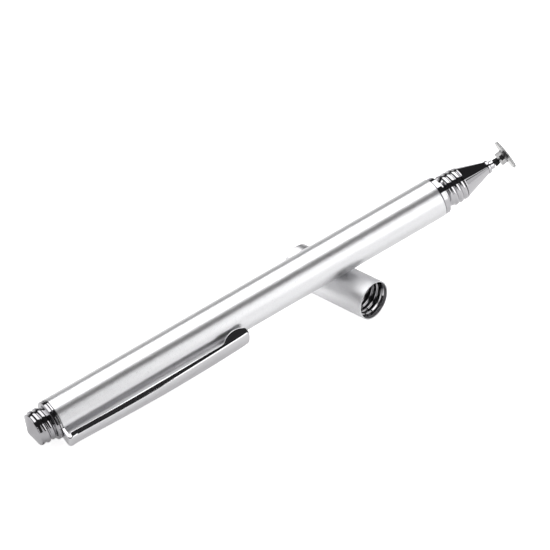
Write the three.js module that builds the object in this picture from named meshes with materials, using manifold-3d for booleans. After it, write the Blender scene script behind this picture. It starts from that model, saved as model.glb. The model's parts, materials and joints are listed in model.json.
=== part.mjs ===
// Disc stylus pen, resting with its nose propped on its own cap.
// Millimetres, +Z up. The cap lies on the floor with its axis along Y, its mouth towards -Y.
// The pen lies across it, tail down, and heads towards +X.
import * as THREE from "three";
import { mergeVertices } from "three/addons/utils/BufferGeometryUtils.js";
import Module from "manifold-3d";

const wasm = await Module();
wasm.setup();

// ---------------------------------------------------------------- driving dimensions
// Distances along the pen run from the tail towards the disc.
const SEG = 32; // facets round a full-size turned piece
const FINE = 20; // facets round the small pieces of the tip

const BARREL_R = 4.45;
const BARREL_BORE = 3.7;
const BARREL_FROM = 6.5;
const BARREL_TO = 103.15;

const THREAD_PITCH = 1.25;
const THREAD_ROOT = 3.54; // on the tail
const THREAD_CREST = 3.85;
const FRONT_THREAD_ROOT = 3.44;
const FRONT_THREAD_CREST = 3.75;
const THREAD_BASE_W = 1.08;
const THREAD_TOP_W = 0.52;

const TAIL_TIP = 0.15;
const TAIL_RIM_AT = 1.42;
const TAIL_RIM_R = 3.63;
const TAIL_COLLAR_R = 4.41;

const FRONT_COLLAR_R = 4.33;
const FRONT_COLLAR_FROM = 103.28;
const FRONT_COLLAR_TO = 104.42;
const FRONT_NECK_R = 3.0;
const FRONT_THREAD_TO = 109.56;

const CONE_BASE_R = 3.6;
const CONE_END_R = 1.45;
const CONE_END = 116.58;

const TIP_RING_R = 1.5;
const TIP_RING_TO = 117.36;
const STUD_R = 0.98;
const STUD_TO = 118.45;
const NECK_R = 0.22;
const BALL_R = 0.5;
const PIVOT = 119.0; // centre of the ball

const DISC_R = 3.45;
const STEM_TO = 2.35; // from the ball's centre along the disc's own axis
const DISC_BACK = 2.6;
const DISC_FRONT = 3.15;
const FILM_FRONT = 3.24;
const HUB_R = 1.53;
const HUB_FROM = 1.0;
const DISC_NOD_DEG = 16.6; // the disc rests tipped up by this much
const DISC_TURN_DEG = 19; // in a plane turned this far about the pen

const CLIP_T = 0.45; // sheet thickness
const CLIP_BELOW_DEG = 21.5; // the clip points this far below level, on the -Y side
const CLIP_END = 51.0;

const CAP_R = 4.45;
const CAP_LEN = 22.33;
const CAP_BORE = 3.9;
const CAP_MOUTH_BORE = 4.15;
const CAP_MOUTH_DEPTH = 0.65;
const CAP_INSERT_FROM = 15.45;
const CAP_THREAD_MAJOR = 3.92;
const CAP_THREAD_MINOR = 3.6;
const CAP_PLUG_TO = 2.1;

const PEN_YAW_DEG = -16; // heading of the pen from +X
const CROSS_AT = 77.34; // where the pen lies on the cap, along the pen
const CAP_CROSS_FROM_MOUTH = 9.0; // and along the cap
const REST_GAP = 0.03; // between barrel and cap where they touch

// ---------------------------------------------------------------- helpers
const DEG = Math.PI / 180;

// A cubic through a table of [x, y] rows.
function along(table, x) {
  const n = table.length;
  if (x <= table[0][0]) return table[0][1];
  if (x >= table[n - 1][0]) return table[n - 1][1];
  let i = 0;
  while (x > table[i + 1][0]) i++;
  const slope = (k) => {
    if (k === 0) return (table[1][1] - table[0][1]) / (table[1][0] - table[0][0]);
    if (k === n - 1) return (table[n - 1][1] - table[n - 2][1]) / (table[n - 1][0] - table[n - 2][0]);
    return (table[k + 1][1] - table[k - 1][1]) / (table[k + 1][0] - table[k - 1][0]);
  };
  const [x0, y0] = table[i],
    [x1, y1] = table[i + 1],
    h = x1 - x0,
    t = (x - x0) / h,
    m0 = slope(i) * h,
    m1 = slope(i + 1) * h;
  return (
    (2 * t ** 3 - 3 * t * t + 1) * y0 +
    (t ** 3 - 2 * t * t + t) * m0 +
    (3 * t * t - 2 * t ** 3) * y1 +
    (t ** 3 - t * t) * m1
  );
}

// Only positions, shared vertices merged, collapsed triangles dropped.
function weld(geometry) {
  const g = geometry.index ? geometry.toNonIndexed() : geometry.clone();
  for (const name of Object.keys(g.attributes)) if (name !== "position") g.deleteAttribute(name);
  const merged = mergeVertices(g, 1e-4);
  const kept = [];
  const index = merged.index.array;
  for (let i = 0; i < index.length; i += 3) {
    const [a, b, c] = [index[i], index[i + 1], index[i + 2]];
    if (a !== b && b !== c && c !== a) kept.push(a, b, c);
  }
  merged.setIndex(kept);
  return merged;
}

function solid(geometry) {
  const g = weld(geometry);
  const build = (tris) =>
    new wasm.Manifold(
      new wasm.Mesh({
        numProp: 3,
        vertProperties: new Float32Array(g.attributes.position.array),
        triVerts: new Uint32Array(tris),
      }),
    );
  const tris = Array.from(g.index.array);
  const made = build(tris);
  if (made.volume() > 0) return made;
  for (let i = 0; i < tris.length; i += 3) [tris[i + 1], tris[i + 2]] = [tris[i + 2], tris[i + 1]];
  return build(tris);
}

function geometryOf(made) {
  const m = made.getMesh();
  const v = new Float32Array(m.numVert * 3);
  for (let i = 0; i < m.numVert; i++) v.set(m.vertProperties.subarray(i * m.numProp, i * m.numProp + 3), i * 3);
  const g = new THREE.BufferGeometry();
  g.setAttribute("position", new THREE.BufferAttribute(v, 3));
  g.setIndex(Array.from(m.triVerts));
  g.computeVertexNormals();
  return g;
}

// A piece turned about the x axis. The profile holds [distance along the axis, radius] rows.
// A profile that starts and ends on the axis is a solid; any other closes on itself, as a tube.
function turned(profile, segments = SEG) {
  const pts = profile.map(([u, r]) => new THREE.Vector2(r, u));
  const onAxis = profile[0][1] === 0 && profile[profile.length - 1][1] === 0;
  if (!onAxis) pts.push(pts[0].clone());
  const g = new THREE.LatheGeometry(pts, segments);
  g.rotateZ(-Math.PI / 2);
  return solid(g);
}

// A closed skin over a row of sections that all have the same number of points.
function skin(sections, lastShape, firstShape = lastShape) {
  const n = sections[0].length;
  const pos = [];
  for (const s of sections) for (const p of s) pos.push(p[0], p[1], p[2]);
  const idx = [];
  for (let i = 0; i + 1 < sections.length; i++)
    for (let j = 0; j < n; j++) {
      const a = i * n + j,
        b = i * n + ((j + 1) % n),
        c = a + n,
        d = b + n;
      idx.push(a, b, d, a, d, c);
    }
  const turn = (...p) =>
    Math.sign(p.reduce((sum, [x, y], i) => sum + x * p[(i + 1) % p.length][1] - y * p[(i + 1) % p.length][0], 0));
  const close = (shape, from, flip) => {
    const way = turn(...shape) * (flip ? -1 : 1);
    const faces = THREE.ShapeUtils.triangulateShape(
      shape.map(([x, y]) => new THREE.Vector2(x, y)),
      [],
    );
    for (const [a, b, c] of faces)
      if (turn(shape[a], shape[b], shape[c]) === way) idx.push(from + a, from + b, from + c);
      else idx.push(from + a, from + c, from + b);
  };
  close(firstShape, 0, true);
  close(lastShape, (sections.length - 1) * n, false);
  const g = new THREE.BufferGeometry();
  g.setAttribute("position", new THREE.BufferAttribute(new Float32Array(pos), 3));
  g.setIndex(idx);
  return solid(g);
}

// A right-handed helical ridge about the x axis. refU is where the crest lies at refDeg, an angle from +y towards +z.
// Its height fades to nothing over fadeDeg at both ends.
function ridge({ fromU, toU, refU, refDeg, base, crest, baseW, topW, sink = 0.2, perTurn = 20, fadeDeg = 55 }) {
  const angle = (u) => (refDeg + ((u - refU) / THREAD_PITCH) * 360) * DEG;
  const a0 = angle(fromU),
    a1 = angle(toU),
    steps = Math.ceil(((a1 - a0) / (2 * Math.PI)) * perTurn);
  const sign = Math.sign(crest - base);
  const sections = [];
  let shape;
  for (let i = 0; i <= steps; i++) {
    const a = a0 + ((a1 - a0) * i) / steps;
    const u = refU + ((a / DEG - refDeg) / 360) * THREAD_PITCH;
    const fade = Math.min(1, (a - a0) / (fadeDeg * DEG), (a1 - a) / (fadeDeg * DEG));
    const f = Math.sin((Math.max(fade, 0) * Math.PI) / 2);
    const top = base - sign * 0.06 + sign * (Math.abs(crest - base) + 0.06) * f;
    const low = base - sign * sink;
    const b = (baseW / 2) * (0.4 + 0.6 * f),
      t = (topW / 2) * (0.4 + 0.6 * f);
    shape = [
      [u - b, low],
      [u + b, low],
      [u + b, base - sign * 0.08],
      [u + t, top],
      [u - t, top],
      [u - b, base - sign * 0.08],
    ];
    sections.push(shape.map(([x, r]) => [x, r * Math.cos(a), r * Math.sin(a)]));
  }
  return skin(sections, shape);
}

// ---------------------------------------------------------------- materials
const finish = (color, roughness, metalness, opacity = 1) =>
  new THREE.MeshStandardMaterial({ color, roughness, metalness, transparent: opacity < 1, opacity });
const satin = () => finish(0xc9c9cb, 0.38, 1.0);
const chrome = () => finish(0xd7d6da, 0.07, 1.0);
const brass = () => finish(0xb79a58, 0.35, 1.0);
const black = () => finish(0x17171a, 0.6, 0.0);
const clear = () => finish(0xe4e6e8, 0.08, 0.0, 0.35);
const dark = () => finish(0x3a393c, 0.4, 0.6);
const felt = () => finish(0x4b4b4e, 0.9, 0.0);

function piece(parent, name, made, material) {
  const mesh = new THREE.Mesh(geometryOf(made), material);
  mesh.name = name;
  parent.add(mesh);
  return mesh;
}

// ---------------------------------------------------------------- the pen, along its own x axis
const pen = new THREE.Group();

piece(
  pen,
  "barrel",
  turned([
    [BARREL_FROM, BARREL_BORE],
    [BARREL_FROM, BARREL_R - 0.08],
    [BARREL_FROM + 0.08, BARREL_R],
    [BARREL_TO - 0.08, BARREL_R],
    [BARREL_TO, BARREL_R - 0.08],
    [BARREL_TO, BARREL_BORE],
  ]),
  satin(),
);

// Tail: cone end, cap thread, neck, collar, then the shank inside the barrel.
piece(
  pen,
  "tail_plug",
  turned([
    [TAIL_TIP, 0],
    [TAIL_TIP + 0.12, 0.42],
    [TAIL_RIM_AT - 0.05, TAIL_RIM_R - 0.09],
    [TAIL_RIM_AT + 0.05, TAIL_RIM_R],
    [TAIL_RIM_AT + 0.25, THREAD_ROOT],
    [4.72, THREAD_ROOT],
    [4.8, 3.22],
    [5.04, 3.22],
    [5.08, 4.08],
    [5.3, TAIL_COLLAR_R],
    [5.82, TAIL_COLLAR_R],
    [5.88, TAIL_COLLAR_R - 0.06],
    [5.88, 3.26],
    [6.8, 3.26],
    [6.8, 2.6],
    [14.6, 2.6],
    [15, 2.2],
    [15, 0],
  ]).add(
    ridge({
      fromU: 2.1,
      toU: 4.3,
      refU: 2.5,
      refDeg: 46,
      base: THREAD_ROOT,
      crest: THREAD_CREST,
      baseW: THREAD_BASE_W,
      topW: THREAD_TOP_W,
    }),
  ),
  chrome(),
);

piece(
  pen,
  "rear_bush",
  turned([
    [6.9, 2.65],
    [6.9, 3.6],
    [6.96, 3.66],
    [16.4, 3.66],
    [16.5, 3.56],
    [16.5, 2.65],
  ]),
  brass(),
);

piece(
  pen,
  "clip_ring",
  turned([
    [6.02, 3.32],
    [6.02, BARREL_R - 0.06],
    [6.08, BARREL_R],
    [6.33, BARREL_R],
    [6.39, BARREL_R - 0.06],
    [6.39, 3.32],
  ]),
  chrome(),
);

// Clip: sheet bent square at the root, an arm with its sides folded down, and a lobe on each side near the free end.
const clipTop = [
  [6.9, 6.91],
  [8.5, 6.97],
  [12, 7.06],
  [18, 7.24],
  [24, 7.35],
  [29, 7.37],
  [34, 7.31],
  [40.5, 7.16],
  [47.5, 6.92],
  [49.6, 6.81],
  [CLIP_END, 6.68],
];
const clipHalf = [
  [6, 1.89],
  [12, 1.93],
  [24, 2.07],
  [34, 2.3],
  [41, 2.44],
  [46, 2.48],
  [CLIP_END, 2.48],
];
// Lower edge of the folded side: how far from the centre line, and how far from the pen's axis.
const clipEdgeR = [
  [7, 5.66],
  [14.5, 5.9],
  [24, 6.05],
  [34, 6.17],
  [41, 6.2],
  [44, 6.2],
  [44.9, 6.05],
  [45.7, 5.3],
  [46.5, 4.9],
  [47.4, 4.65],
  [48.3, 4.55],
  [49.2, 4.67],
  [50.1, 5.0],
  [50.8, 5.5],
  [51, 5.8],
];
const clipEdgeIn = [
  [7, -0.13],
  [44, -0.13],
  [45, -0.15],
  [45.8, -0.24],
  [46.9, -0.31],
  [48.3, -0.34],
  [49.4, -0.31],
  [50.3, -0.22],
  [51, -0.12],
];
const CLIP_BEND_R = 0.75;
const CLIP_ROUND = 0.7;
const CLIP_CROWN = 0.12;
const CLIP_FOLD_R = 0.42;
const CLIP_ROOT_U = 6.02;

const clipHalfAt = (u) => {
  const over = u - (CLIP_END - CLIP_ROUND);
  const cut = over > 0 ? CLIP_ROUND - Math.sqrt(Math.max(0, CLIP_ROUND ** 2 - over ** 2)) : 0;
  return along(clipHalf, u) - cut;
};
// Section of the folded sheet as rows of [across, depth below the outer skin].
// The folded sides reach down to sideDepth and lean in by sideIn at their edges.
function channelShape(half, crown, fold, sideDepth, sideIn) {
  const arc = 3,
    flat = 4;
  const foot = crown + fold,
    edge = Math.max(sideDepth, crown + CLIP_T + 0.04);
  const len = Math.hypot(edge - foot, sideIn) || 1,
    inW = ((edge - foot) / len) * CLIP_T,
    inH = (sideIn / len) * CLIP_T;
  const right = [[half - sideIn, edge]];
  for (let i = 0; i <= arc; i++) {
    const a = (i / arc) * 90 * DEG;
    right.push([half - fold + fold * Math.cos(a), foot - fold * Math.sin(a)]);
  }
  const middle = [];
  for (let i = 1; i < flat; i++) {
    const k = 1 - (2 * i) / flat;
    middle.push([k * (half - fold), crown * k * k]);
  }
  const underRight = [
    [half - CLIP_T - 0.05, crown + CLIP_T],
    [half - sideIn - inW, Math.max(edge - inH, crown + CLIP_T + 0.03)],
  ];
  const mirror = (rows) => rows.map(([w, h]) => [-w, h]);
  const under = [-0.5, 0, 0.5].map((k) => [k * half, CLIP_T + crown * k * k]);
  return [
    ...right,
    ...middle,
    ...mirror(right).reverse(),
    ...mirror(underRight).reverse(),
    ...under,
    ...underRight,
  ];
}
const clipDir = [-Math.cos(CLIP_BELOW_DEG * DEG), -Math.sin(CLIP_BELOW_DEG * DEG)]; // away from the barrel, in (y, z)
const clipAcross = [-Math.sin(CLIP_BELOW_DEG * DEG), Math.cos(CLIP_BELOW_DEG * DEG)];
const clipPoint = (u, r, w) => [u, clipDir[0] * r + clipAcross[0] * w, clipDir[1] * r + clipAcross[1] * w];

const clipSections = [];
const rootTop = along(clipTop, 6.9);
// the tab, which stands on the ring, and whose foot is cut to the ring's curve below
const TAB_FOOT = BARREL_R + 0.04;
const tabShape = channelShape(1.89, 0, 0.1, 0, 0);
for (const r of [4.0, 5.0, rootTop - CLIP_BEND_R])
  clipSections.push(tabShape.map(([w, h]) => clipPoint(CLIP_ROOT_U + h, r, w)));
for (let i = 1; i <= 4; i++) {
  const a = (i / 4) * 90 * DEG;
  clipSections.push(
    channelShape(1.89, CLIP_CROWN * 0.5 * (i / 4), 0.1 + 0.15 * (i / 4), 0, 0).map(([w, h]) =>
      clipPoint(
        CLIP_ROOT_U + CLIP_BEND_R - (CLIP_BEND_R - h) * Math.cos(a),
        rootTop - CLIP_BEND_R + (CLIP_BEND_R - h) * Math.sin(a),
        w,
      ),
    ),
  );
}
let endShape;
for (const u of [
  7.0, 7.08, 7.16, 7.3, 7.75, 8.4, 11, 14.5, 20, 27, 34, 40, 44, 44.6, 45.2, 45.8, 46.5, 47.4, 48.3, 49, 49.6, 50.1, 50.5,
  50.8, 50.94, CLIP_END,
]) {
  const grow = Math.min(1, (u - 6.9) / 1.2);
  const fold = 0.25 + (CLIP_FOLD_R - 0.25) * grow;
  const side = Math.min(1, Math.max(0, (u - 6.75) / 0.4));
  endShape = channelShape(
    clipHalfAt(u),
    CLIP_CROWN * (0.5 + 0.5 * grow),
    fold,
    side * (along(clipTop, u) - along(clipEdgeR, u)),
    side * along(clipEdgeIn, u),
  );
  clipSections.push(endShape.map(([w, h]) => clipPoint(u, along(clipTop, u) - h, w)));
}
const clip = skin(clipSections, endShape, tabShape).subtract(
  turned([
    [5.5, 0],
    [5.5, TAB_FOOT],
    [6.8, TAB_FOOT],
    [6.8, 0],
  ]),
);
piece(pen, "clip_arm", clip, chrome());

piece(
  pen,
  "front_bush",
  turned([
    [91.5, 2.65],
    [91.5, 3.56],
    [91.6, 3.66],
    [102.8, 3.66],
    [102.86, 3.6],
    [102.86, 2.65],
  ]),
  brass(),
);

// Front: shank, collar, neck and cap thread, bored for the cone's spigot.
piece(
  pen,
  "front_insert",
  turned([
    [93, 1.2],
    [93, 2.5],
    [93.1, 2.6],
    [BARREL_TO + 0.02, 2.6],
    [BARREL_TO + 0.02, 4.0],
    [FRONT_COLLAR_FROM, 4.0],
    [FRONT_COLLAR_FROM, FRONT_COLLAR_R - 0.06],
    [FRONT_COLLAR_FROM + 0.06, FRONT_COLLAR_R],
    [FRONT_COLLAR_TO - 0.12, FRONT_COLLAR_R],
    [FRONT_COLLAR_TO, FRONT_COLLAR_R - 0.12],
    [FRONT_COLLAR_TO + 0.04, FRONT_NECK_R],
    [105.1, FRONT_NECK_R],
    [105.72, FRONT_THREAD_ROOT],
    [FRONT_THREAD_TO - 0.06, FRONT_THREAD_ROOT],
    [FRONT_THREAD_TO, FRONT_THREAD_ROOT - 0.06],
    [FRONT_THREAD_TO, 1.74],
    [101, 1.74],
    [101, 1.2],
  ]).add(
    ridge({
      fromU: 105.75,
      toU: 109.05,
      refU: 106.12,
      refDeg: 46,
      base: FRONT_THREAD_ROOT,
      crest: FRONT_THREAD_CREST,
      baseW: THREAD_BASE_W,
      topW: THREAD_TOP_W,
    }),
  ),
  chrome(),
);

piece(
  pen,
  "nose_cone",
  turned(
    [
      [102.2, 0],
      [102.2, 1.5],
      [102.4, 1.7],
      [FRONT_THREAD_TO + 0.03, 1.7],
      [FRONT_THREAD_TO + 0.03, CONE_BASE_R - 0.12],
      [FRONT_THREAD_TO + 0.1, CONE_BASE_R - 0.03],
      [FRONT_THREAD_TO + 0.28, CONE_BASE_R],
      [CONE_END - 0.08, CONE_END_R],
      [CONE_END, CONE_END_R - 0.09],
      [CONE_END, STUD_R + 0.04],
      [108, STUD_R + 0.04],
      [108, 0],
    ],
    SEG,
  ),
  chrome(),
);

piece(
  pen,
  "tip_ring",
  turned(
    [
      [CONE_END + 0.03, STUD_R + 0.04],
      [CONE_END + 0.03, TIP_RING_R - 0.12],
      [CONE_END + 0.16, TIP_RING_R],
      [TIP_RING_TO - 0.18, TIP_RING_R],
      [TIP_RING_TO, TIP_RING_R - 0.2],
      [TIP_RING_TO, STUD_R + 0.04],
    ],
    FINE,
  ),
  chrome(),
);

{
  const rows = [
    [108.05, 0],
    [108.05, STUD_R - 0.1],
    [108.15, STUD_R],
    [STUD_TO - 0.1, STUD_R],
    [STUD_TO, STUD_R - 0.1],
    [STUD_TO, 0.34],
    [STUD_TO + 0.06, NECK_R],
  ];
  const start = Math.asin(NECK_R / BALL_R);
  for (let i = 0; i <= 9; i++) {
    const a = start + ((Math.PI - start) * i) / 9;
    rows.push([PIVOT - BALL_R * Math.cos(a), i === 9 ? 0 : BALL_R * Math.sin(a)]);
  }
  piece(pen, "ball_stud", turned(rows, FINE), chrome());
}

// ---------------------------------------------------------------- the disc, about the ball's centre
const disc = new THREE.Group();
disc.name = "disc_unit";
disc.position.set(PIVOT, 0, 0);
disc.rotation.set(DISC_TURN_DEG * DEG, -DISC_NOD_DEG * DEG, 0, "XYZ");
pen.add(disc);

{
  // a thin cup over the front of the ball, open behind
  const rows = [];
  for (let i = 0; i <= 8; i++) {
    const a = i * 13.1 * DEG;
    rows.push([0.66 * Math.cos(a), i === 0 ? 0 : 0.66 * Math.sin(a)]);
  }
  for (let i = 8; i >= 0; i--) {
    const a = i * 13.1 * DEG;
    rows.push([0.53 * Math.cos(a), i === 0 ? 0 : 0.53 * Math.sin(a)]);
  }
  piece(disc, "ball_seat", turned(rows, FINE), dark());
}
{
  const rows = [
    [STEM_TO, 0],
    [STEM_TO, 0.45],
    [STEM_TO - 0.12, 0.57],
    [HUB_FROM + 0.7, 0.57],
    [HUB_FROM + 0.58, 0.47],
    [HUB_FROM + 0.58, 0.2],
    [HUB_FROM - 0.04, 0.2],
    [HUB_FROM - 0.04, 0.68],
    [HUB_FROM - 0.1, 0.73],
    [-0.08, 0.9],
    [-0.12, 0.87],
  ];
  const from = Math.acos(-0.12 / 0.69);
  for (let i = 0; i <= 7; i++) {
    const a = from * (1 - i / 7);
    rows.push([0.69 * Math.cos(a), i === 7 ? 0 : 0.69 * Math.sin(a)]);
  }
  piece(disc, "conductive_socket", turned(rows, FINE), black());
}
piece(
  disc,
  "disc_hub",
  turned(
    [
      [HUB_FROM, 0.33],
      [HUB_FROM, HUB_R - 0.16],
      [HUB_FROM + 0.05, HUB_R - 0.05],
      [HUB_FROM + 0.16, HUB_R],
      [DISC_BACK - 0.03, HUB_R],
      [DISC_BACK - 0.03, 0.6],
      [HUB_FROM + 0.55, 0.6],
      [HUB_FROM + 0.55, 0.33],
    ],
    FINE,
  ),
  clear(),
);
piece(
  disc,
  "disc_plate",
  turned(
    [
      [DISC_BACK, 1.0],
      [DISC_BACK, DISC_R - 0.12],
      [DISC_BACK + 0.12, DISC_R],
      [DISC_FRONT - 0.1, DISC_R],
      [DISC_FRONT, DISC_R - 0.1],
      [DISC_FRONT, 1.0],
    ],
    SEG,
  ),
  clear(),
);
piece(
  disc,
  "contact_plate",
  turned(
    [
      [DISC_BACK + 0.02, 0],
      [DISC_BACK + 0.02, 0.97],
      [DISC_FRONT, 0.97],
      [DISC_FRONT, 0],
    ],
    FINE,
  ),
  dark(),
);
piece(
  disc,
  "disc_film",
  turned(
    [
      [DISC_FRONT + 0.03, 0],
      [DISC_FRONT + 0.03, DISC_R - 0.1],
      [FILM_FRONT, DISC_R - 0.14],
      [FILM_FRONT, 0],
    ],
    SEG,
  ),
  clear(),
);

// ---------------------------------------------------------------- the cap, along its own x axis, closed end first
const cap = new THREE.Group();
piece(
  cap,
  "cap_tube",
  turned([
    [CAP_PLUG_TO + 0.03, CAP_BORE],
    [CAP_PLUG_TO + 0.03, CAP_R - 0.06],
    [CAP_PLUG_TO + 0.09, CAP_R],
    [CAP_LEN - 0.1, CAP_R],
    [CAP_LEN, CAP_R - 0.1],
    [CAP_LEN, CAP_MOUTH_BORE + 0.06],
    [CAP_LEN - 0.06, CAP_MOUTH_BORE],
    [CAP_INSERT_FROM - 0.05, CAP_MOUTH_BORE],
    [CAP_INSERT_FROM - 0.05, CAP_BORE],
  ]),
  satin(),
);
piece(
  cap,
  "cap_thread_insert",
  turned([
    [CAP_INSERT_FROM, CAP_THREAD_MAJOR],
    [CAP_INSERT_FROM, CAP_MOUTH_BORE - 0.03],
    [CAP_LEN - CAP_MOUTH_DEPTH, CAP_MOUTH_BORE - 0.03],
    [CAP_LEN - CAP_MOUTH_DEPTH - 0.38, CAP_THREAD_MAJOR],
  ]).add(
    ridge({
      fromU: CAP_INSERT_FROM + 0.4,
      toU: CAP_LEN - CAP_MOUTH_DEPTH - 0.42,
      refU: CAP_LEN - 1.5,
      refDeg: -49.3,
      base: CAP_THREAD_MAJOR,
      crest: CAP_THREAD_MINOR,
      baseW: 0.6,
      topW: 0.24,
    }),
  ),
  chrome(),
);
piece(
  cap,
  "cap_end_plug",
  turned([
    [0, 0],
    [0, CAP_R - 0.42],
    [0.07, CAP_R - 0.2],
    [0.2, CAP_R - 0.06],
    [0.42, CAP_R],
    [CAP_PLUG_TO - 0.06, CAP_R],
    [CAP_PLUG_TO, CAP_R - 0.06],
    [CAP_PLUG_TO, CAP_BORE - 0.04],
    [2.82, CAP_BORE - 0.04],
    [2.9, CAP_BORE - 0.12],
    [2.9, 0],
  ]),
  chrome(),
);
piece(
  cap,
  "cap_pad",
  turned([
    [2.94, 0],
    [2.94, CAP_BORE - 0.1],
    [3.5, CAP_BORE - 0.1],
    [3.62, CAP_BORE - 0.25],
    [3.62, 0],
  ]),
  felt(),
);

// ---------------------------------------------------------------- the way they lie
// The cap's axis is level, one radius above the floor, along Y.
cap.rotation.z = -Math.PI / 2;
cap.position.set(0, CAP_LEN - CAP_CROSS_FROM_MOUTH, CAP_R);

// The pen rests on the cap's top and on the low edge of its tail collar.
let rise = 7 * DEG;
const yaw = PEN_YAW_DEG * DEG;
const heading = () =>
  new THREE.Vector3(Math.cos(rise) * Math.cos(yaw), Math.cos(rise) * Math.sin(yaw), Math.sin(rise));
const crossing = () => {
  const a = heading();
  const up = new THREE.Vector3(-a.z, 0, a.x).normalize();
  return up.multiplyScalar(CAP_R + BARREL_R + REST_GAP).add(new THREE.Vector3(0, 0, CAP_R));
};
for (let i = 0; i < 30; i++)
  rise = Math.asin((crossing().z - TAIL_COLLAR_R * Math.cos(rise)) / (CROSS_AT - 5.3));
pen.rotation.set(0, -rise, yaw, "ZYX");
pen.position.copy(crossing().addScaledVector(heading(), -CROSS_AT));

const stylus = new THREE.Group();
stylus.name = "disc_stylus_pen";
stylus.add(pen, cap);
pen.name = "pen_group";
cap.name = "cap_group";

// Origin: the middle of the footprint, on the floor.
stylus.updateMatrixWorld(true);
const box = new THREE.Box3().setFromObject(stylus, true);
const middle = box.getCenter(new THREE.Vector3());
for (const g of [pen, cap]) g.position.sub(new THREE.Vector3(middle.x, middle.y, box.min.z));
stylus.updateMatrixWorld(true);

export default stylus;
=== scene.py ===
import json
import math

import bmesh
import bpy
import numpy as np
from mathutils import Matrix, Vector


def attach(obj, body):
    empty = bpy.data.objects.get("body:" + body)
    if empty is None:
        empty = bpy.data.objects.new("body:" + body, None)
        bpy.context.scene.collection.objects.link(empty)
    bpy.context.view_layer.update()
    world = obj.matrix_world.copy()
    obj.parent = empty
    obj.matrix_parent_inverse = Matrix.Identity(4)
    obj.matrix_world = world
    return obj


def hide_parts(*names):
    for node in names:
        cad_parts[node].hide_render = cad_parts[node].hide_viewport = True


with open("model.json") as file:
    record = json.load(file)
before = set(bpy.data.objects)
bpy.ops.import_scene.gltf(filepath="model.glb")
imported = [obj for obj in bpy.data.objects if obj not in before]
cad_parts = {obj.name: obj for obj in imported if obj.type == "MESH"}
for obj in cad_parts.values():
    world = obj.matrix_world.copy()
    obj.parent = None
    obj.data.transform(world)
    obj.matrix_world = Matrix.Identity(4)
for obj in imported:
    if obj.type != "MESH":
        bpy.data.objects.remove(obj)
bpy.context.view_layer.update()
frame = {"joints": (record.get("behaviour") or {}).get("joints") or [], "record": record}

# ------------------------------------------------------------------ frames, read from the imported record
JOINTS = {j["name"]: j for j in frame["joints"]}
MOUNTS = {m["name"]: m for m in frame["record"]["mounts"]}
DISC_NOD = math.radians(16.6)
DISC_TURN = math.radians(19.0)
PIVOT_U = 119.0
CLIP_BELOW = math.radians(21.5)


def unit(v):
    v = np.array(v, float)
    return v / np.linalg.norm(v)


pivot = np.array(JOINTS["disc_nod"]["pos_m"], float)
disc_y = unit(JOINTS["disc_nod"]["axis"])
disc_x = unit(JOINTS["disc_spin"]["axis"])
disc_z = np.cross(disc_x, disc_y)
pen_x = unit(math.cos(DISC_NOD) * disc_x - math.sin(DISC_NOD) * disc_z)
pen_y = unit(math.cos(DISC_TURN) * disc_y - math.sin(DISC_TURN) * np.cross(pen_x, disc_y))
pen_z = np.cross(pen_x, pen_y)
cap_x = -unit(MOUNTS["cap_end_face"]["axis"])


def placed(origin, x, y, z):
    """Matrix from millimetres in a piece's own frame to metres in the row frame."""
    m = np.eye(4)
    m[:3, 0], m[:3, 1], m[:3, 2] = x * 1e-3, y * 1e-3, z * 1e-3
    m[:3, 3] = origin
    return m


PEN = placed(pivot - pen_x * PIVOT_U * 1e-3, pen_x, pen_y, pen_z)
DISC = placed(pivot, disc_x, disc_y, disc_z)
CAP = placed(
    np.array(MOUNTS["cap_end_face"]["pos_m"]),
    cap_x,
    np.array([1.0, 0.0, 0.0]),
    np.cross(cap_x, [1.0, 0.0, 0.0]),
)

# ------------------------------------------------------------------ camera, at the photograph's viewing angle
CAM_R = np.array(
    [
        [0.66908057, -0.7377929, -0.08940261],
        [0.50351392, 0.36153286, 0.78470868],
        [-0.54663051, -0.5700488, 0.61338361],
    ]
)
CAM_FROM_PIVOT = np.array([-0.51525406, -0.46535631, 0.51421803])
cam_data = bpy.data.cameras.new("camera")
cam = bpy.data.objects.new("camera", cam_data)
bpy.context.scene.collection.objects.link(cam)
cam_data.sensor_width = 36.0
cam_data.lens = 36.0 * 4000.0 / 550.0
cam_data.clip_start, cam_data.clip_end = 0.05, 20.0
cam_matrix = np.eye(4)
cam_matrix[:3, 0], cam_matrix[:3, 1], cam_matrix[:3, 2] = CAM_R[0], CAM_R[1], CAM_R[2]
cam_matrix[:3, 3] = pivot + CAM_FROM_PIVOT
cam.matrix_world = Matrix([list(row) for row in cam_matrix])
bpy.context.scene.camera = cam


# ------------------------------------------------------------------ mesh tools
def rounded(rows, steps=5):
    """Turns [u, r, fillet] rows into a finer line: each corner with a fillet becomes an arc."""
    pts = [np.array(p[:2], float) for p in rows]
    fillets = [p[2] if len(p) > 2 else 0.0 for p in rows]
    out = []
    for i, p in enumerate(pts):
        f = fillets[i]
        if f <= 0 or i in (0, len(pts) - 1):
            out.append(p)
            continue
        a, b = pts[i - 1] - p, pts[i + 1] - p
        la, lb = np.linalg.norm(a), np.linalg.norm(b)
        a, b = a / la, b / lb
        angle = math.acos(max(-1.0, min(1.0, float(a @ b))))
        cut = min(f / math.tan(angle / 2), 0.48 * la, 0.48 * lb)
        f = cut * math.tan(angle / 2)
        centre = p + unit(a + b) * (f / math.sin(angle / 2))
        s, e = p + a * cut - centre, p + b * cut - centre
        sweep = math.pi - angle
        n = max(2, int(round(steps * sweep / (math.pi / 2))))
        out.append(p + a * (cut + min(0.35 * f, 0.2 * (la - cut))))
        for k in range(n + 1):
            t = k / n
            v = (
                math.sin((1 - t) * sweep) * s + math.sin(t * sweep) * e
            ) / math.sin(sweep)
            out.append(centre + v)
        out.append(p + b * (cut + min(0.35 * f, 0.2 * (lb - cut))))
    return [(float(q[0]), float(q[1])) for q in out]


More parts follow.
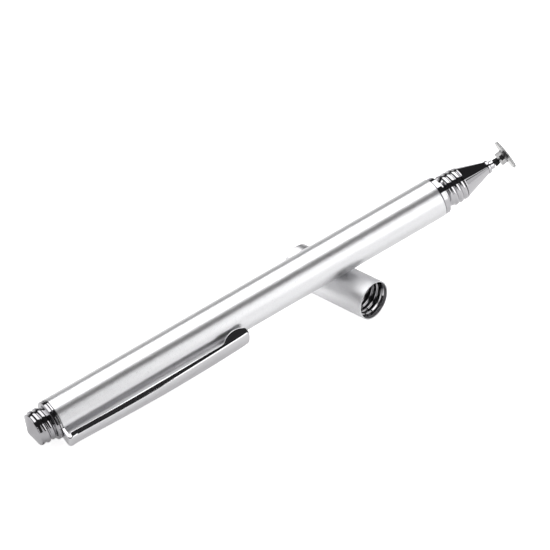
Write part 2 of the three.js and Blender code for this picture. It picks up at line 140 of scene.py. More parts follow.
class Shell:
    """Collects vertices and faces in a piece's own frame."""

    def __init__(self):
        self.v, self.f = [], []

    def ring(self, u, r, segs, phase=0.0, lift=None):
        start = len(self.v)
        for k in range(segs):
            a = 2 * math.pi * k / segs + phase
            rr = r if lift is None else r + lift(u, a)
            self.v.append((u, rr * math.cos(a), rr * math.sin(a)))
        return list(range(start, start + segs))

    def bridge(self, a, b):
        n = len(a)
        for k in range(n):
            self.f.append((a[k], a[(k + 1) % n], b[(k + 1) % n], b[k]))

    def lathe(self, line, segs=160, closed=False):
        """A turned skin. A radius of 0 closes it on the axis."""
        rings = []
        for u, r in line:
            if r <= 1e-9:
                self.v.append((u, 0.0, 0.0))
                rings.append(len(self.v) - 1)
            else:
                rings.append(self.ring(u, r, segs))
        pairs = list(zip(rings, rings[1:]))
        if closed:
            pairs.append((rings[-1], rings[0]))
        for a, b in pairs:
            if isinstance(a, int) and isinstance(b, int):
                continue
            if isinstance(a, int):
                for k in range(len(b)):
                    self.f.append((a, b[(k + 1) % len(b)], b[k]))
            elif isinstance(b, int):
                for k in range(len(a)):
                    self.f.append((a[k], a[(k + 1) % len(a)], b))
            else:
                self.bridge(a, b)
        return self

    def thread(self, u0, u1, ref_u, ref_deg, pitch, radius, run_in=None, segs=160, rows=36):
        """A helical skin from u0 to u1. radius(d, f) is the radius at d from the nearest crest, with f from 0 at the
        thread's ends to 1. Its rows follow the helix, and its two ends are square. The crest starts at run_in."""
        n = int(math.ceil((u1 - u0) / pitch * rows)) + 1
        start = len(self.v)
        first = -rows
        total = n - first + 1
        for k in range(first, n + 1):
            for s in range(segs):
                a = 2 * math.pi * s / segs
                u = u0 + k * pitch / rows + pitch * s / segs
                u = min(max(u, u0), u1)
                turns = a / (2 * math.pi) - ref_deg / 360.0
                q = (u - ref_u) / pitch - turns
                d = (q - round(q)) * pitch
                crest = u - d
                edge = min(crest - (u0 if run_in is None else run_in), u1 - crest)
                f = min(1.0, max(0.0, edge / (0.28 * pitch)))
                f = f * f * (3 - 2 * f)
                r = radius(d, f)
                self.v.append((u, r * math.cos(a), r * math.sin(a)))

        def at(k, s):
            if s == segs:
                k, s = k + rows, 0
            return start + (k - first) * segs + s if first <= k <= n else None

        for k in range(first, n):
            for s in range(segs):
                quad = [at(k, s), at(k, s + 1), at(k + 1, s + 1), at(k + 1, s)]
                if None not in quad:
                    self.f.append(tuple(quad))
        return self

    def skin(self, sections):
        """A closed skin over a row of sections with equal counts, closed flat at both ends."""
        base = len(self.v)
        n = len(sections[0])
        for s in sections:
            self.v.extend([tuple(p) for p in s])
        for i in range(len(sections) - 1):
            for j in range(n):
                a, b = base + i * n + j, base + i * n + (j + 1) % n
                self.f.append((a, b, b + n, a + n))
        self.f.append(tuple(base + j for j in reversed(range(n))))
        last = base + (len(sections) - 1) * n
        self.f.append(tuple(last + j for j in range(n)))
        return self

    def object(self, name, matrix, material, smooth_deg=34.0, weighted=True):
        v = np.array(self.v, float)
        local = v.copy()
        w = v @ matrix[:3, :3].T + matrix[:3, 3]
        me = bpy.data.meshes.new(name)
        me.from_pydata(w.tolist(), [], self.f)
        attribute = me.attributes.new("own", "FLOAT_VECTOR", "POINT")
        attribute.data.foreach_set("vector", (local).astype(np.float32).ravel())
        bm = bmesh.new()
        bm.from_mesh(me)
        bmesh.ops.remove_doubles(bm, verts=bm.verts, dist=2e-7)
        bmesh.ops.dissolve_degenerate(bm, dist=1e-7, edges=bm.edges)
        loose = [x for x in bm.verts if not x.link_faces]
        bmesh.ops.delete(bm, geom=loose, context="VERTS")
        bmesh.ops.recalc_face_normals(bm, faces=bm.faces)
        bm.to_mesh(me)
        bm.free()
        me.shade_smooth()
        me.set_sharp_from_angle(angle=math.radians(smooth_deg))
        me.materials.append(material)
        ob = bpy.data.objects.new(name, me)
        bpy.context.scene.collection.objects.link(ob)
        if weighted:
            mod = ob.modifiers.new("weighted", "WEIGHTED_NORMAL")
            mod.keep_sharp = True
            mod.weight = 50
        return ob


def along(table, x):
    """A smooth value through a table of (x, y) rows."""
    xs = [p[0] for p in table]
    ys = [p[1] for p in table]
    if x <= xs[0]:
        return ys[0]
    if x >= xs[-1]:
        return ys[-1]
    i = max(k for k in range(len(xs) - 1) if xs[k] <= x)
    def slope(k):
        if k == 0:
            return (ys[1] - ys[0]) / (xs[1] - xs[0])
        if k == len(xs) - 1:
            return (ys[-1] - ys[-2]) / (xs[-1] - xs[-2])
        return (ys[k + 1] - ys[k - 1]) / (xs[k + 1] - xs[k - 1])
    h = xs[i + 1] - xs[i]
    t = (x - xs[i]) / h
    return (
        (2 * t**3 - 3 * t * t + 1) * ys[i]
        + (t**3 - 2 * t * t + t) * slope(i) * h
        + (3 * t * t - 2 * t**3) * ys[i + 1]
        + (t**3 - t * t) * slope(i + 1) * h
    )


# ------------------------------------------------------------------ materials
class Nodes:
    """A short way to write a material's nodes."""

    def __init__(self, name):
        self.m = bpy.data.materials.new(name)
        self.m.use_nodes = True
        self.t = self.m.node_tree
        self.t.nodes.clear()
        self.out = self.t.nodes.new("ShaderNodeOutputMaterial")
        self.b = self.t.nodes.new("ShaderNodeBsdfPrincipled")
        self.link(self.b.outputs[0], self.out.inputs["Surface"])

    def link(self, a, b):
        self.t.links.new(a, b)

    def set(self, **values):
        for k, v in values.items():
            self.b.inputs[k.replace("_", " ")].default_value = v
        return self

    def own(self, scale=(1, 1, 1)):
        """The piece's own frame in millimetres, x along its axis."""
        a = self.t.nodes.new("ShaderNodeAttribute")
        a.attribute_name = "own"
        m = self.t.nodes.new("ShaderNodeMapping")
        m.inputs["Scale"].default_value = scale
        self.link(a.outputs["Vector"], m.inputs["Vector"])
        return m.outputs["Vector"]

    def noise(self, vector, scale, detail=3.0, rough=0.5, distortion=0.0):
        n = self.t.nodes.new("ShaderNodeTexNoise")
        n.inputs["Scale"].default_value = scale
        n.inputs["Detail"].default_value = detail
        n.inputs["Roughness"].default_value = rough
        n.inputs["Distortion"].default_value = distortion
        self.link(vector, n.inputs["Vector"])
        return n.outputs["Fac"]

    def ramp(self, fac, stops):
        r = self.t.nodes.new("ShaderNodeValToRGB")
        e = r.color_ramp.elements
        while len(e) > 1:
            e.remove(e[-1])
        for i, (p, c) in enumerate(stops):
            c = (c, c, c, 1) if isinstance(c, (int, float)) else (*c, 1)
            if i == 0:
                e[0].position, e[0].color = p, c
            else:
                x = e.new(p)
                x.color = c
        self.link(fac, r.inputs["Fac"])
        return r.outputs["Color"]

    def span(self, fac, low, high, from_low=0.0, from_high=1.0):
        r = self.t.nodes.new("ShaderNodeMapRange")
        r.inputs["From Min"].default_value = from_low
        r.inputs["From Max"].default_value = from_high
        r.inputs["To Min"].default_value = low
        r.inputs["To Max"].default_value = high
        self.link(fac, r.inputs["Value"])
        return r.outputs["Result"]

    def bump(self, height, strength, distance, onto=None):
        b = self.t.nodes.new("ShaderNodeBump")
        b.inputs["Strength"].default_value = strength
        b.inputs["Distance"].default_value = distance
        self.link(height, b.inputs["Height"])
        if onto is not None:
            self.link(onto, b.inputs["Normal"])
        return b.outputs["Normal"]

    def use(self, socket, name):
        self.link(socket, self.b.inputs[name])
        return self


def satin_aluminium(name="satin_aluminium", rough=(0.27, 0.36)):
    n = Nodes(name)
    n.set(Metallic=1.0, IOR=1.5)
    v = n.own()
    grain = n.noise(v, 5.5, 3.0, 0.65)
    fine = n.noise(v, 14.0, 2.0, 0.6)
    n.use(n.ramp(grain, [(0.3, (0.70, 0.70, 0.715)), (0.7, (0.80, 0.80, 0.81))]), "Base Color")
    n.use(n.span(grain, rough[0], rough[1], 0.3, 0.7), "Roughness")
    first = n.bump(grain, 0.3, 0.00006)
    n.use(n.bump(fine, 0.28, 0.00003, first), "Normal")
    return n.m


def chrome(name="chrome", tint=(0.49, 0.485, 0.50), rough=(0.03, 0.07)):
    n = Nodes(name)
    n.set(Metallic=1.0, IOR=1.5)
    v = n.own()
    smear = n.noise(v, 0.55, 4.0, 0.6, 0.4)
    n.use(n.span(smear, rough[0], rough[1], 0.35, 0.7), "Roughness")
    n.use(n.ramp(smear, [(0.3, tuple(c * 0.97 for c in tint)), (0.7, tint)]), "Base Color")
    n.use(n.bump(n.noise(v, 0.9, 2.0, 0.5), 0.06, 0.00008), "Normal")
    return n.m


def brass():
    n = Nodes("brass")
    n.set(Metallic=1.0)
    v = n.own((9.0, 1.0, 1.0))
    lines = n.noise(v, 1.6, 4.0, 0.6)
    n.use(n.ramp(lines, [(0.3, (0.60, 0.45, 0.2)), (0.7, (0.75, 0.6, 0.32))]), "Base Color")
    n.use(n.span(lines, 0.25, 0.45), "Roughness")
    n.use(n.bump(lines, 0.3, 0.00005), "Normal")
    return n.m


def black_plastic():
    n = Nodes("black_plastic")
    n.set(IOR=1.28)
    v = n.own()
    g = n.noise(v, 6.0, 3.0, 0.6)
    n.use(n.ramp(g, [(0.3, (0.004, 0.004, 0.005)), (0.7, (0.01, 0.01, 0.012))]), "Base Color")
    n.use(n.span(g, 0.42, 0.6), "Roughness")
    n.use(n.bump(g, 0.2, 0.00004), "Normal")
    return n.m


def clear_plastic(name="clear_plastic", alpha=(0.46, 0.54)):
    n = Nodes(name)
    n.set(IOR=1.46)
    v = n.own()
    g = n.noise(v, 1.2, 3.0, 0.5)
    n.use(n.ramp(g, [(0.3, (0.05, 0.048, 0.05)), (0.7, (0.07, 0.068, 0.07))]), "Base Color")
    n.use(n.span(g, 0.1, 0.2), "Roughness")
    facing = n.t.nodes.new("ShaderNodeLayerWeight")
    facing.inputs["Blend"].default_value = 0.5
    n.use(n.span(facing.outputs["Facing"], alpha[0], alpha[1]), "Alpha")
    return n.m


def dark_contact():
    n = Nodes("dark_contact")
    n.set(Metallic=0.4)
    v = n.own()
    g = n.noise(v, 5.0, 3.0, 0.6)
    n.use(n.ramp(g, [(0.3, (0.012, 0.0115, 0.012)), (0.7, (0.03, 0.029, 0.03))]), "Base Color")
    n.use(n.span(g, 0.3, 0.45), "Roughness")
    n.use(n.bump(g, 0.2, 0.00003), "Normal")
    return n.m


def soft_pad():
    n = Nodes("soft_pad")
    v = n.own()
    g = n.noise(v, 4.0, 4.0, 0.7)
    n.use(n.ramp(g, [(0.3, (0.02, 0.02, 0.022)), (0.7, (0.06, 0.06, 0.064))]), "Base Color")
    n.use(n.span(g, 0.8, 0.95), "Roughness")
    n.use(n.bump(g, 0.6, 0.0002), "Normal")
    return n.m


SATIN = satin_aluminium()
CAP_SATIN = satin_aluminium("satin_aluminium_cap", (0.4, 0.48))
CHROME = chrome()
# Chrome with a darker tint for the tail plug: painted shade, standing in for the dimmer floor that its mirror finish
# reflects.
TAIL_CHROME_PAINTED_SHADE = chrome("chrome_tail_painted_shade", (0.375, 0.37, 0.385))
# Chrome with a lighter tint for the clip: painted light, standing in for the brighter floor that its mirror finish
# reflects from under the pen.
CLIP_CHROME_PAINTED_LIGHT = chrome("chrome_clip_painted_light", (0.70, 0.695, 0.71), (0.05, 0.1))
END_CHROME = chrome("chrome_cap_end", (0.72, 0.715, 0.73), (0.34, 0.4))
BRASS = brass()
BLACK = black_plastic()
CLEAR = clear_plastic()
FILM = clear_plastic("clear_film", (0.06, 0.3))
DARK = dark_contact()
PAD = soft_pad()


def finish_piece(ob, body, slot, *nodes):
    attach(ob, body)
    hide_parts(*nodes)
    return ob


def turned(name, matrix, material, rows, body, slot, node, segs=160, closed=False, steps=5):
    line = rounded(rows + [rows[0], rows[1]], steps)[: -1] if closed else rounded(rows, steps)
    if closed:
        line = closed_line(rows, steps)
    ob = Shell().lathe(line, segs, closed).object(name, matrix, material)
    return finish_piece(ob, body, slot, node)


def closed_line(rows, steps):
    """rounded() for a loop of rows."""
    n = len(rows)
    out = []
    for i in range(n):
        piece = rounded([rows[i - 1], rows[i], rows[(i + 1) % n]], steps)
        out.extend(piece[1:-1])
    return out


# ------------------------------------------------------------------ threads
PITCH = 1.25


def outer_thread(root, crest, base=1.18, top=0.5, dome=0.02):
    def radius(d, f):
        x = abs(d)
        if x >= base / 2:
            return root
        if x <= top / 2:
            return root + (crest - dome * (2 * x / top) ** 2 - root) * f
        t = (base / 2 - x) / ((base - top) / 2)
        t = t * t * (3 - 2 * t) * 0.4 + t * 0.6
        return root + (crest - dome - root) * t * f

    return radius


# ------------------------------------------------------------------ barrel
turned(
    "barrel_tube", PEN, SATIN,
    [
        [6.5, 3.7, 0.05], [6.5, 4.45, 0.1], [103.15, 4.45, 0.13], [103.15, 3.7, 0.05],
    ],
    "pen_body", "satin_aluminium", "barrel", segs=224, closed=True,
)

# ------------------------------------------------------------------ tail plug
TAIL_ROOT, TAIL_CREST = 3.54, 3.86
tail = Shell()
tail.lathe(rounded([
    [0.15, 0.0], [0.25, 0.42, 0.3], [1.42, 3.63, 0.07], [1.68, TAIL_ROOT, 0.03], [1.72, TAIL_ROOT],
]), 160)
tail.thread(1.72, 4.64, 2.5, 46.0, PITCH, outer_thread(TAIL_ROOT, TAIL_CREST))
tail.lathe(rounded([
    [4.64, TAIL_ROOT], [4.68, TAIL_ROOT, 0.03], [4.78, 3.22, 0.04], [5.05, 3.22, 0.04], [5.08, 4.06, 0.05], [5.3, 4.41, 0.07],
    [5.88, 4.41, 0.07], [5.88, 3.26, 0.02], [6.8, 3.26, 0.05], [6.8, 2.6, 0.05], [14.7, 2.6, 0.1], [15.0, 2.2, 0.1], [15.0, 0.0],
]), 160)
# The tail plug's darker chrome tint is painted shade.
finish_piece(tail.object("tail_plug_turned", PEN, TAIL_CHROME_PAINTED_SHADE), "pen_body", "chrome", "tail_plug")

# ------------------------------------------------------------------ front insert
front = Shell()
front.lathe(rounded([
    [101.0, 1.2], [93.0, 1.2, 0.05], [93.0, 2.6, 0.15], [103.17, 2.6, 0.02], [103.17, 4.0, 0.02], [103.28, 4.0, 0.02], [103.28, 4.33, 0.1], [104.42, 4.33, 0.1],
    [104.44, 3.0, 0.05], [105.1, 3.0, 0.08], [105.72, 3.44, 0.03], [105.74, 3.44],
]), 160)
front.thread(105.74, 109.46, 106.12, 46.0, PITCH, outer_thread(3.44, 3.75), 105.85)
front.lathe(rounded([
    [109.46, 3.44], [109.5, 3.44], [109.56, 3.38, 0.02], [109.56, 1.74, 0.02], [101.0, 1.74, 0.02], [101.0, 1.2],
]), 160)
finish_piece(front.object("front_insert_turned", PEN, CHROME), "pen_body", "chrome", "front_insert")

# ------------------------------------------------------------------ nose cone, tip ring, ball stud
turned(
    "nose_cone_turned", PEN, CHROME,
    [
        [102.2, 0.0], [102.2, 1.7, 0.2], [109.59, 1.7, 0.02], [109.59, 3.5, 0.05], [109.68, 3.6, 0.05], [109.86, 3.6, 0.04],
        [109.96, 3.5, 0.03], [116.58, 1.45, 0.06], [116.58, 1.02, 0.02], [108.0, 1.02, 0.02], [108.0, 0.0],
    ],
    "pen_body", "chrome", "nose_cone", segs=160,
)
turned(
    "tip_ring_turned", PEN, CHROME,
    [[116.61, 1.02], [116.61, 1.5, 0.16], [117.36, 1.5, 0.22], [117.36, 1.02]],
    "pen_body", "chrome", "tip_ring", segs=96, closed=True,
)
ball = [[108.05, 0.0], [108.05, 0.98, 0.08], [118.45, 0.98, 0.1], [118.45, 0.34, 0.03], [118.51, 0.22, 0.03]]
start = math.asin(0.22 / 0.5)
ball_line = rounded(ball)
for i in range(25):
    a = start + (math.pi - start) * i / 24
    ball_line.append((PIVOT_U - 0.5 * math.cos(a), 0.0 if i == 24 else 0.5 * math.sin(a)))
finish_piece(Shell().lathe(ball_line, 96).object("ball_stud_turned", PEN, CHROME), "pen_body", "chrome", "ball_stud")

# ------------------------------------------------------------------ pieces inside the barrel
turned(
    "rear_bush_turned", PEN, BRASS,
    [[6.9, 2.65, 0.03], [6.9, 3.66, 0.06], [16.5, 3.66, 0.1], [16.5, 2.65, 0.05]],
    "pen_body", "brass", "rear_bush", segs=128, closed=True,
)
turned(
    "front_bush_turned", PEN, BRASS,
    [[91.5, 2.65, 0.03], [91.5, 3.66, 0.1], [102.86, 3.66, 0.06], [102.86, 2.65, 0.03]],
    "pen_body", "brass", "front_bush", segs=128, closed=True,
)

# ------------------------------------------------------------------ clip
turned(
    "clip_ring_pressed", PEN, CHROME,
    [[6.02, 3.32, 0.03], [6.02, 4.45, 0.08], [6.39, 4.45, 0.08], [6.39, 3.32, 0.03]],
    "pen_body", "chrome", "clip_ring", segs=160, closed=True,
)
CLIP_T = 0.45
CLIP_END = 51.0
CLIP_TOP = [(6.9, 6.91), (8.5, 6.97), (12, 7.06), (18, 7.24), (24, 7.35), (29, 7.37), (34, 7.31), (40.5, 7.16), (47.5, 6.92), (49.6, 6.81), (CLIP_END, 6.68)]
CLIP_HALF = [(6, 1.89), (12, 1.93), (24, 2.07), (34, 2.3), (41, 2.44), (46, 2.48), (CLIP_END, 2.48)]
CLIP_EDGE_R = [(7, 5.66), (14.5, 5.9), (24, 6.05), (34, 6.13), (41, 6.09), (44, 6.06), (44.9, 5.92), (45.7, 5.3), (46.5, 4.9), (47.4, 4.65), (48.3, 4.55), (49.2, 4.67), (50.1, 5.0), (50.8, 5.5), (51, 5.8)]
CLIP_EDGE_IN = [(7, -0.13), (44, -0.13), (45, -0.15), (45.8, -0.24), (46.9, -0.31), (48.3, -0.34), (49.4, -0.31), (50.3, -0.22), (51, -0.12)]
CLIP_BEND_R = 0.75
CLIP_ROUND = 0.7
CLIP_CROWN = 0.12
CLIP_FOLD_R = 0.42
CLIP_ROOT_U = 6.02
clip_out = np.array([-math.cos(CLIP_BELOW), -math.sin(CLIP_BELOW)])
clip_side = np.array([-math.sin(CLIP_BELOW), math.cos(CLIP_BELOW)])


def clip_point(u, r, w):
    y, z = clip_out * r + clip_side * w
    return (u, y, z)


def clip_half(u):
    over = u - (CLIP_END - CLIP_ROUND)
    cut = CLIP_ROUND - math.sqrt(max(0.0, CLIP_ROUND**2 - over**2)) if over > 0 else 0.0
    return along(CLIP_HALF, u) - cut


def channel(half, crown, fold, side_depth, side_in, thick=CLIP_T, edge=0.07):
    """Section of the folded sheet as (across, depth below the outer skin), all the way round."""
    foot = crown + fold
    depth = max(side_depth, crown + CLIP_T + 0.05)
    t2 = thick / 2
    # middle of the sheet, from the right edge, up the side, round the fold and across to the centre line
    mid = []
    rc = max(fold - CLIP_T / 2, 0.03)
    wc = half - CLIP_T / 2
    straight = max(depth - foot, 0.02)
    n = 9
    for i in range(n):
        t = 1 - i / (n - 1)
        mid.append((wc - side_in * (t**1.35 if side_in > 0 else t), foot + straight * t))
    for i in range(1, 8):
        a = math.radians(90 * i / 7)
        mid.append((wc - rc + rc * math.cos(a), foot - rc * math.sin(a) * (fold - CLIP_T / 2) / rc if rc > 0.03 else foot - (fold - CLIP_T / 2) * math.sin(a)))
    k0 = wc - rc
    for i in range(1, 7):
        k = 1 - i / 6
        mid.append((k0 * k, CLIP_T / 2 + crown * k * k))
    full = mid + [(-w, h) for w, h in reversed(mid[:-1])]
    p = np.array(full)
    tangent = np.gradient(p, axis=0)
    tangent /= np.linalg.norm(tangent, axis=1)[:, None]
    normal = np.stack([-tangent[:, 1], tangent[:, 0]], 1)
    # the outer side is away from the middle of the channel
    if normal[len(p) // 2] @ np.array([0, -1]) < 0:
        normal = -normal
    outer, inner = p + normal * t2, p - normal * t2
    e = min(edge, t2 * 0.6)

    def lip(i, sign):
        o = tangent[i] * sign
        nrm = normal[i]
        rows = []
        for a in (0, 30, 60, 90):
            r = math.radians(a)
            rows.append(p[i] + nrm * (t2 - e + e * math.cos(r)) + o * (e * math.sin(r)))
        low = []
        for a in (90, 60, 30, 0):
            r = math.radians(a)
            low.append(p[i] - nrm * (t2 - e + e * math.cos(r)) + o * (e * math.sin(r)))
        return rows, low

    right_out, right_in = lip(0, -1)
    left_out, left_in = lip(len(p) - 1, 1)
    loop = list(reversed(right_out)) + list(outer[1:-1]) + left_out + left_in + list(inner[1:-1][::-1]) + list(reversed(right_in))
    return [(float(a), float(b)) for a, b in loop]


sections = []
root_top = along(CLIP_TOP, 6.9)
TAB_FOOT = 4.47
tab = channel(1.89, 0, 0.12, 0, 0)
foot_rows = []
for w, h in tab:
    foot_rows.append(clip_point(CLIP_ROOT_U + h, math.sqrt(max(TAB_FOOT**2 - w * w, 0.0)), w))
sections.append(foot_rows)
for r in (4.7, 5.2, 5.8, root_top - CLIP_BEND_R):
    sections.append([clip_point(CLIP_ROOT_U + h, r, w) for w, h in tab])
for i in range(1, 13):
    a = math.radians(90 * i / 12)
    shape = channel(1.89, CLIP_CROWN * 0.5 * i / 12, 0.12 + 0.13 * i / 12, 0, 0)
    sections.append([
        clip_point(
            CLIP_ROOT_U + CLIP_BEND_R - (CLIP_BEND_R - h) * math.cos(a),
            root_top - CLIP_BEND_R + (CLIP_BEND_R - h) * math.sin(a),
            w,
        )
        for w, h in shape
    ])
stations = [6.92, 6.96, 7.0, 7.04, 7.08, 7.12, 7.16, 7.2, 7.3, 7.45, 7.6, 7.8, 8.0, 8.4, 9.0]
stations += list(np.arange(10.0, 44.0, 1.0)) + list(np.arange(44.0, 50.2, 0.15)) + list(np.arange(50.2, CLIP_END - 0.06, 0.08))
stations += [CLIP_END - 0.05, CLIP_END - 0.02, CLIP_END]
for u in stations:
    grow = min(1.0, max(0.0, (u - 6.9) / 1.2))
    fold = 0.25 + (CLIP_FOLD_R - 0.25) * grow
    side = min(1.0, max(0.0, (u - 6.75) / 0.4))
    side = side * side * (3 - 2 * side)
    over = max(0.0, u - (CLIP_END - 0.06)) / 0.06
    thin = 1 - 0.3 * over * over
    shape = channel(
        clip_half(u),
        CLIP_CROWN * (0.5 + 0.5 * grow),
        fold,
        side * (along(CLIP_TOP, u) - along(CLIP_EDGE_R, u)),
        side * along(CLIP_EDGE_IN, u),
        thick=CLIP_T * thin,
    )
    sections.append([clip_point(u, along(CLIP_TOP, u) - h, w) for w, h in shape])
clip_shell = Shell().skin(sections)
# The clip's lighter chrome tint is painted light.
clip_ob = clip_shell.object("clip_folded", PEN, CLIP_CHROME_PAINTED_LIGHT, smooth_deg=40.0)
finish_piece(clip_ob, "clip", "chrome", "clip_arm")

# ------------------------------------------------------------------ ball seat, socket and disc
seat = []
for i in range(17):
    a = math.radians(105 * i / 16)
    seat.append((0.66 * math.cos(a), 0.0 if i == 0 else 0.66 * math.sin(a)))
for i in range(16, -1, -1):
    a = math.radians(105 * i / 16)
    seat.append((0.53 * math.cos(a), 0.0 if i == 0 else 0.53 * math.sin(a)))
finish_piece(Shell().lathe(seat, 96).object("ball_seat_cup", DISC, BLACK), "seat", "black_plastic", "ball_seat")

socket = rounded([
    [2.35, 0.0], [2.35, 0.57, 0.2], [1.58, 0.57, 0.14], [1.58, 0.15, 0.04], [0.96, 0.15, 0.03], [0.96, 0.72, 0.09], [-0.12, 0.9, 0.06], [-0.12, 0.71, 0.02],
])
start = math.acos(-0.12 / 0.69)
for i in range(1, 20):
    a = start * (1 - i / 19)
    socket.append((0.69 * math.cos(a), 0.0 if i == 19 else 0.69 * math.sin(a)))
finish_piece(Shell().lathe(socket, 96).object("conductive_socket_moulded", DISC, BLACK), "socket", "black_plastic", "conductive_socket")

turned(
    "disc_hub_moulded", DISC, CLEAR,
    [[1.0, 0.33], [1.0, 1.53, 0.24], [2.57, 1.53, 0.06], [2.57, 0.6, 0.02], [1.55, 0.6, 0.02], [1.55, 0.33, 0.02]],
    "disc", "clear_plastic", "disc_hub", segs=128, closed=True,
)
turned(
    "disc_plate_moulded", DISC, CLEAR,
    [[2.6, 1.0, 0.02], [2.6, 3.45, 0.16], [3.15, 3.45, 0.1], [3.15, 1.0, 0.02]],
    "disc", "clear_plastic", "disc_plate", segs=192, closed=True,
)
turned(
    "contact_plate_stamped", DISC, DARK,
    [[2.62, 0.0], [2.62, 0.97, 0.05], [3.15, 0.97, 0.03], [3.15, 0.0]],
    "disc", "dark_contact", "contact_plate", segs=96,
)
turned(
    "disc_film_sheet", DISC, FILM,
    [[3.18, 0.0], [3.18, 3.35, 0.02], [3.24, 3.32, 0.03], [3.24, 0.0]],
    "disc", "clear_plastic", "disc_film", segs=192,
)

# ------------------------------------------------------------------ cap
CAP_LEN = 22.33
turned(
    "cap_tube_turned", CAP, CAP_SATIN,
    [
        [2.13, 3.9, 0.04], [2.13, 4.45, 0.07], [CAP_LEN, 4.45, 0.1], [CAP_LEN, 4.15, 0.07], [15.4, 4.15, 0.03], [15.4, 3.9, 0.03],
    ],
    "cap", "satin_aluminium", "cap_tube", segs=224, closed=True,
)


def inner_thread(root, crest, base=0.66, top=0.22):
    def radius(d, f):
        x = abs(d)
        if x >= base / 2:
            return root
        t = min(1.0, (base / 2 - x) / ((base - top) / 2))
        t = t * t * (3 - 2 * t) * 0.55 + t * 0.45
        return root + (crest - root) * t * f

    return radius


insert = Shell()
insert.lathe(rounded([[15.6, 3.92], [15.45, 3.92, 0.03], [15.45, 4.12, 0.04], [21.68, 4.12, 0.02], [21.3, 3.92, 0.06], [21.18, 3.92]]), 160)
insert.thread(15.6, 21.18, CAP_LEN - 1.5, -49.3, PITCH, inner_thread(3.92, 3.6))
insert_ob = insert.object("cap_thread_insert_cut", CAP, CHROME)
finish_piece(insert_ob, "cap", "chrome", "cap_thread_insert")

turned(
    "cap_end_plug_turned", CAP, END_CHROME,
    [[0.0, 0.0], [0.0, 4.45, 0.38], [2.1, 4.45, 0.06], [2.1, 3.86, 0.02], [2.9, 3.86, 0.1], [2.9, 0.0]],
    "cap", "chrome", "cap_end_plug", segs=192,
)
turned(
    "cap_pad_punched", CAP, PAD,
    [[2.94, 0.0], [2.94, 3.8, 0.1], [3.62, 3.8, 0.2], [3.62, 0.0]],
    "cap", "pad", "cap_pad", segs=128,
)

# ------------------------------------------------------------------ floor, light
floor_mesh = bpy.data.meshes.new("floor")
S = 3.0
floor_mesh.from_pydata([(-S, -S, 0), (S, -S, 0), (S, S, 0), (-S, S, 0)], [], [(0, 1, 2, 3)])
floor = bpy.data.objects.new("floor", floor_mesh)
bpy.context.scene.collection.objects.link(floor)
fm = bpy.data.materials.new("floor")
fm.use_nodes = True
fb = fm.node_tree.nodes["Principled BSDF"]
fb.inputs["Base Color"].default_value = (0.8, 0.8, 0.8, 1)
fb.inputs["Roughness"].default_value = 0.9
fb.inputs["Specular IOR Level"].default_value = 0.0
fb.inputs["Emission Color"].default_value = (1, 0.995, 0.995, 1)
fb.inputs["Emission Strength"].default_value = 0.62
ft = fm.node_tree
place = ft.nodes.new("ShaderNodeTexCoord")
split = ft.nodes.new("ShaderNodeSeparateXYZ")
ft.links.new(place.outputs["Object"], split.inputs[0])
sweep = ft.nodes.new("ShaderNodeMapRange")
sweep.inputs["From Min"].default_value, sweep.inputs["From Max"].default_value = -0.1, -0.055
sweep.inputs["To Min"].default_value, sweep.inputs["To Max"].default_value = 0.0, 0.38
ft.links.new(split.outputs["X"], sweep.inputs["Value"])
rays = ft.nodes.new("ShaderNodeLightPath")
glow = ft.nodes.new("ShaderNodeMix")
glow.data_type = "FLOAT"
ft.links.new(rays.outputs["Is Camera Ray"], glow.inputs[0])
ft.links.new(sweep.outputs["Result"], glow.inputs[2])
glow.inputs[3].default_value = 0.86
ft.links.new(glow.outputs[0], fb.inputs["Emission Strength"])
floor_mesh.materials.append(fm)

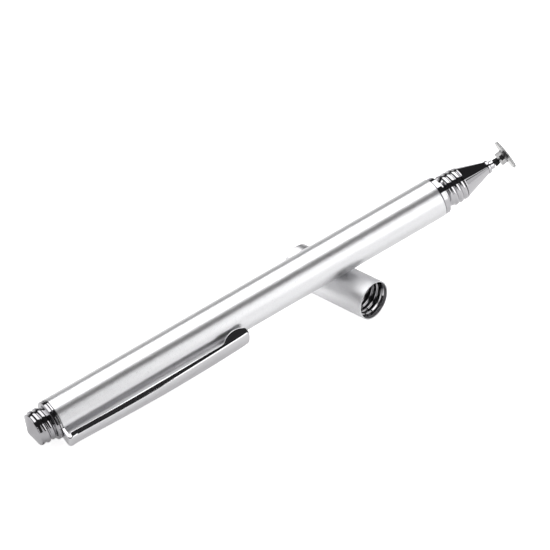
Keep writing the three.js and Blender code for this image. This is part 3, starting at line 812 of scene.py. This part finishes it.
# The background is pale to the camera and dim to everything else, as in a darkened studio.
world = bpy.data.worlds.new("world")
bpy.context.scene.world = world
world.use_nodes = True
wt = world.node_tree
dim = wt.nodes["Background"]
dim.inputs["Color"].default_value = (0.03, 0.0295, 0.031, 1)
pale = wt.nodes.new("ShaderNodeBackground")
pale.inputs["Color"].default_value = (1.0, 1.0, 1.0, 1)
rays = wt.nodes.new("ShaderNodeLightPath")
mix = wt.nodes.new("ShaderNodeMixShader")
wt.links.new(rays.outputs["Is Camera Ray"], mix.inputs["Fac"])
wt.links.new(dim.outputs[0], mix.inputs[1])
wt.links.new(pale.outputs[0], mix.inputs[2])
wt.links.new(mix.outputs[0], wt.nodes["World Output"].inputs["Surface"])

# Directions about the pen: side is square to the pen's axis on the photograph's near side, and low is square to both,
# towards the photograph's lower right.
tail_end = (PEN @ np.array([0.0, 0.0, 0.0, 1.0]))[:3]
view = unit(cam_matrix[:3, 3] - (PEN @ np.array([60.0, 0.0, 0.0, 1.0]))[:3])
side = unit(view - pen_x * (view @ pen_x))
low = np.cross(pen_x, side)
if (CAM_R @ low)[1] > 0:
    low = -low


def panel(name, turn0, turn1, near, from_u, to_u, radiance, colour=(1, 1, 1), tip=0.0):
    """A flat soft panel seen from the pen between two turns about its axis (degrees from side towards low), at a
    distance of near metres, and between two places along it, in millimetres from the tail."""
    a = math.radians((turn0 + turn1) / 2)
    half = math.radians(abs(turn1 - turn0) / 2)
    out = math.cos(a) * side + math.sin(a) * low
    width, length = 2 * near * math.tan(half), (to_u - from_u) * 1e-3
    z, y = out, pen_x
    if tip:
        t = math.radians(tip)
        z, y = math.cos(t) * out + math.sin(t) * pen_x, math.cos(t) * pen_x - math.sin(t) * out
    x = np.cross(y, z)
    data = bpy.data.lights.new(name, "AREA")
    data.shape = "RECTANGLE"
    data.size, data.size_y = width, length
    data.energy = radiance * math.pi * width * length
    data.color = colour
    ob = bpy.data.objects.new(name, data)
    bpy.context.scene.collection.objects.link(ob)
    m = np.eye(4)
    m[:3, 0], m[:3, 1], m[:3, 2] = x, y, z
    m[:3, 3] = tail_end + pen_x * ((from_u + to_u) / 2 * 1e-3) + out * near
    ob.matrix_world = Matrix([list(r) for r in m])
    ob.visible_camera = False
    return ob


panel("key", -98, -41, 0.9, -550, 800, 2.7)
panel("back", -142, -121, 1.3, -600, 1000, 0.6)
panel("fill", -4, 42, 0.8, 220, 680, 2.15)
panel("fill_low", 42, 80, 0.8, 280, 680, 1.25)
panel("nose_low", 12, 62, 0.8, 800, 1700, 0.85)
panel("nose_strip", -4, 2, 0.8, 800, 1700, 1.6)

bpy.context.scene.view_settings.view_transform = "Standard"
bpy.context.scene.view_settings.look = "None"
